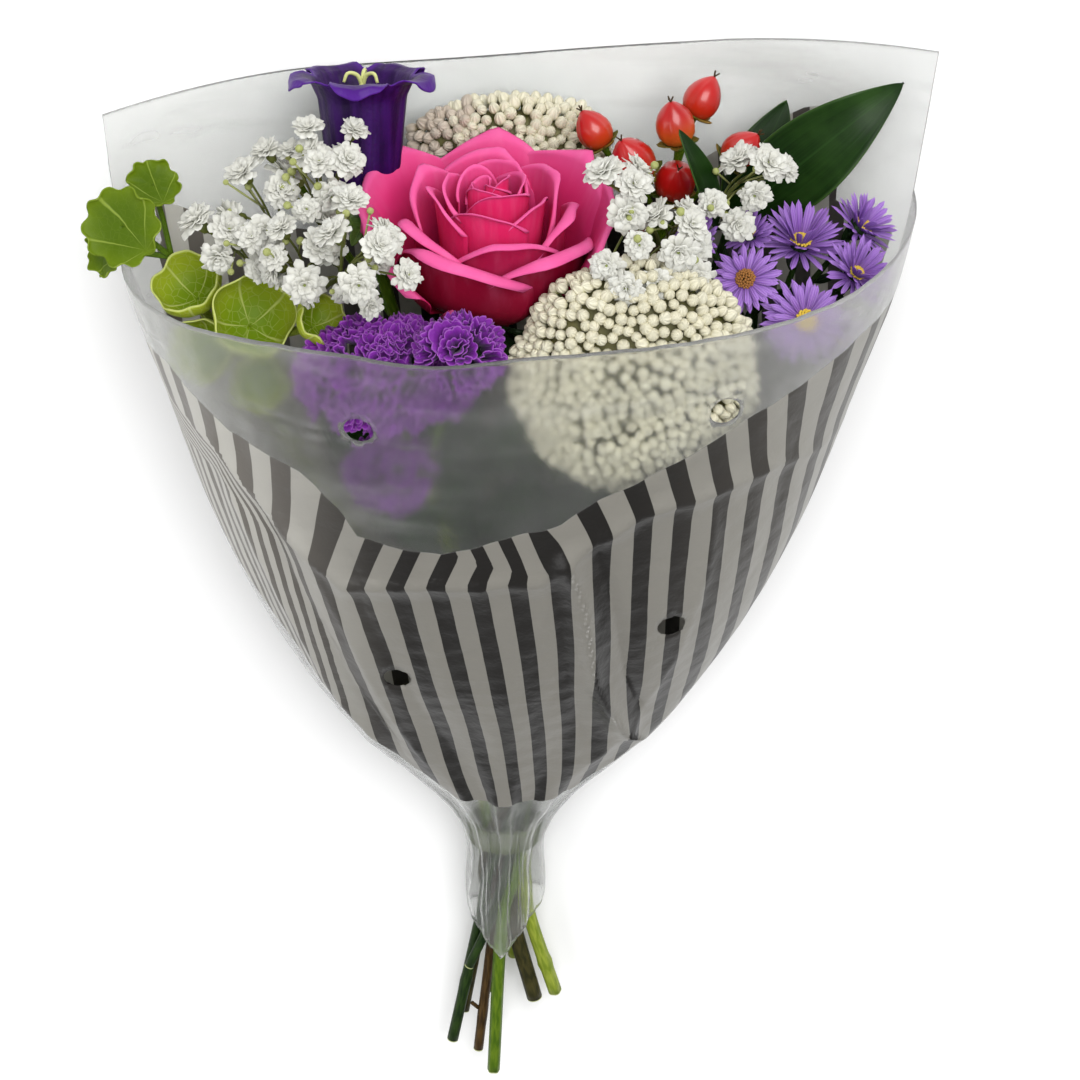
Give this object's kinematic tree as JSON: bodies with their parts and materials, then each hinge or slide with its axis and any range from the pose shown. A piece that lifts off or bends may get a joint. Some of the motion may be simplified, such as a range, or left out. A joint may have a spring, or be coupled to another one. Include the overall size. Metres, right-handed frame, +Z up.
{
  "type": "mixed flower bouquet",
  "caption": "Hand-tied bouquet of mixed flowers and greenery in a printed, frosted film sleeve, lying on its back.",
  "frame": {"origin": "centre of the bounding box's footprint, on the surface the bouquet lies on", "axes": "+Y from the cut stems to the flower heads, +X across the bouquet to the right as seen from the front, +Z up from the back sheet of the sleeve to its front sheet"},
  "size_m": [0.2778, 0.4186, 0.1401],
  "materials": {
    "film": "satin",
    "band": "matte",
    "rose_petal": "satin",
    "bell_violet": "satin",
    "style_green": "satin",
    "stem_green": "satin",
    "gypsophila_white": "matte",
    "rice_cream": "matte",
    "statice_purple": "matte",
    "berry_red": "gloss",
    "leaf_dark": "gloss",
    "aster_lavender": "matte",
    "moluccella_green": "satin"
  },
  "bodies": {
    "root": {"sleeve": "film", "binding_band": "band", "rose_bloom": "rose_petal", "rose_stem": "stem_green", "campanula_bell": "bell_violet", "campanula_style": "style_green", "campanula_stem": "stem_green", "gypsophila_left": "gypsophila_white", "gypsophila_right": "gypsophila_white", "rice_flower": "rice_cream", "statice": "statice_purple", "hypericum": "berry_red", "ruscus": "leaf_dark", "aster_stem": "stem_green", "aster_head_1": "aster_lavender", "aster_head_2": "aster_lavender", "aster_head_3": "aster_lavender", "aster_head_4": "aster_lavender", "aster_head_5": "aster_lavender", "aster_head_6": "aster_lavender", "aster_head_7": "aster_lavender", "aster_head_8": "aster_lavender", "moluccella": "moluccella_green"}
  },
  "joints": []
}
